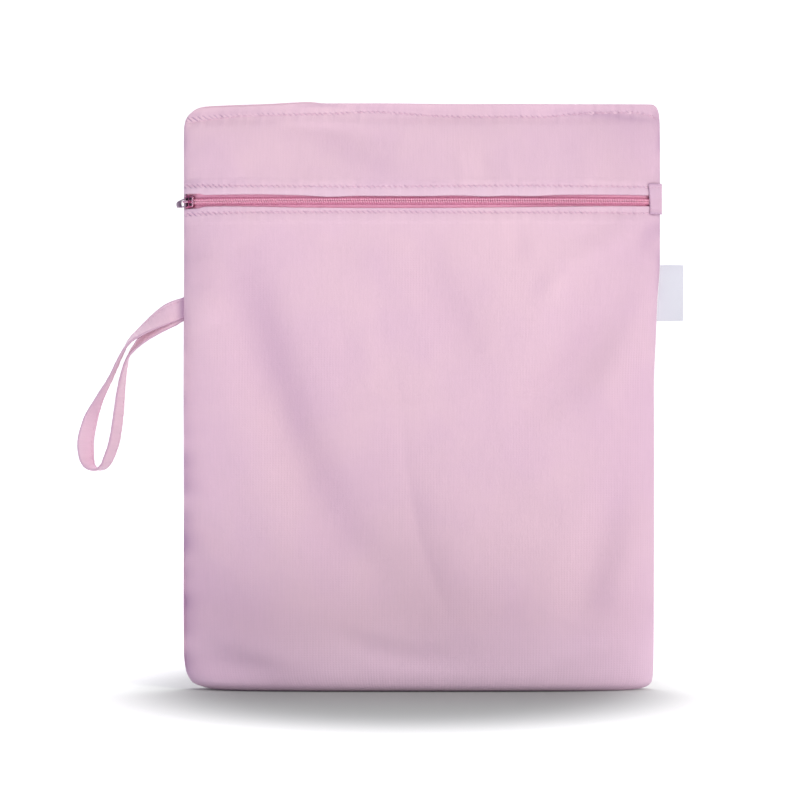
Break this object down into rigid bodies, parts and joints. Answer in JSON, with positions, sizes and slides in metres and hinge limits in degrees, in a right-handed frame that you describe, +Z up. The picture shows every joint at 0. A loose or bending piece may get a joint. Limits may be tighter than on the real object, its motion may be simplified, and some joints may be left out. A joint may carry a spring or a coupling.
{
  "type": "zipped cloth wet bag with wrist strap",
  "caption": "Flat rectangular cloth pouch with a zip across its upper front, a twisted flat wrist loop in the left seam and a bare ribbon label in the right seam, standing on its soft bottom",
  "frame": {"origin": "On the flat patch of the bag's soft bottom, midway between the side seams, on the ground plane", "axes": "+Z up, +X to the right as the front is seen, -Y out of the zipped front; the bag is thinnest along Y"},
  "size_m": [0.4137, 0.0612, 0.4],
  "materials": {
    "bag_cloth": "soft laminated polyester knit, pale lilac pink, satin sheen",
    "zip_tape": "woven polyester tape, rose pink",
    "zip_coil": "moulded nylon coil, rose pink",
    "slider_metal": "glossy dark rose lacquer over die-cast metal",
    "pull_metal": "satin grey mauve lacquer over pressed metal",
    "label_ribbon": "folded woven satin ribbon, lavender white, bare"
  },
  "bodies": {
    "bag": {"front_panel": "bag_cloth", "front_band": "bag_cloth", "back_panel": "bag_cloth", "zip_tape_upper": "zip_tape", "zip_tape_lower": "zip_tape", "zip_coil_upper": "zip_coil", "zip_coil_lower": "zip_coil", "zip_slider": "slider_metal", "zip_end_tab": "bag_cloth", "side_label": "label_ribbon", "wrist_strap": "bag_cloth"},
    "pull": {"zip_pull": "pull_metal"}
  },
  "joints": [
    {"name": "pull_swing", "type": "hinge", "parent": "bag", "child": "pull", "pos_m": [-0.15979, -0.00534, 0.3317], "axis": [0, 0, 1], "range_deg": [0, 185]}
  ]
}
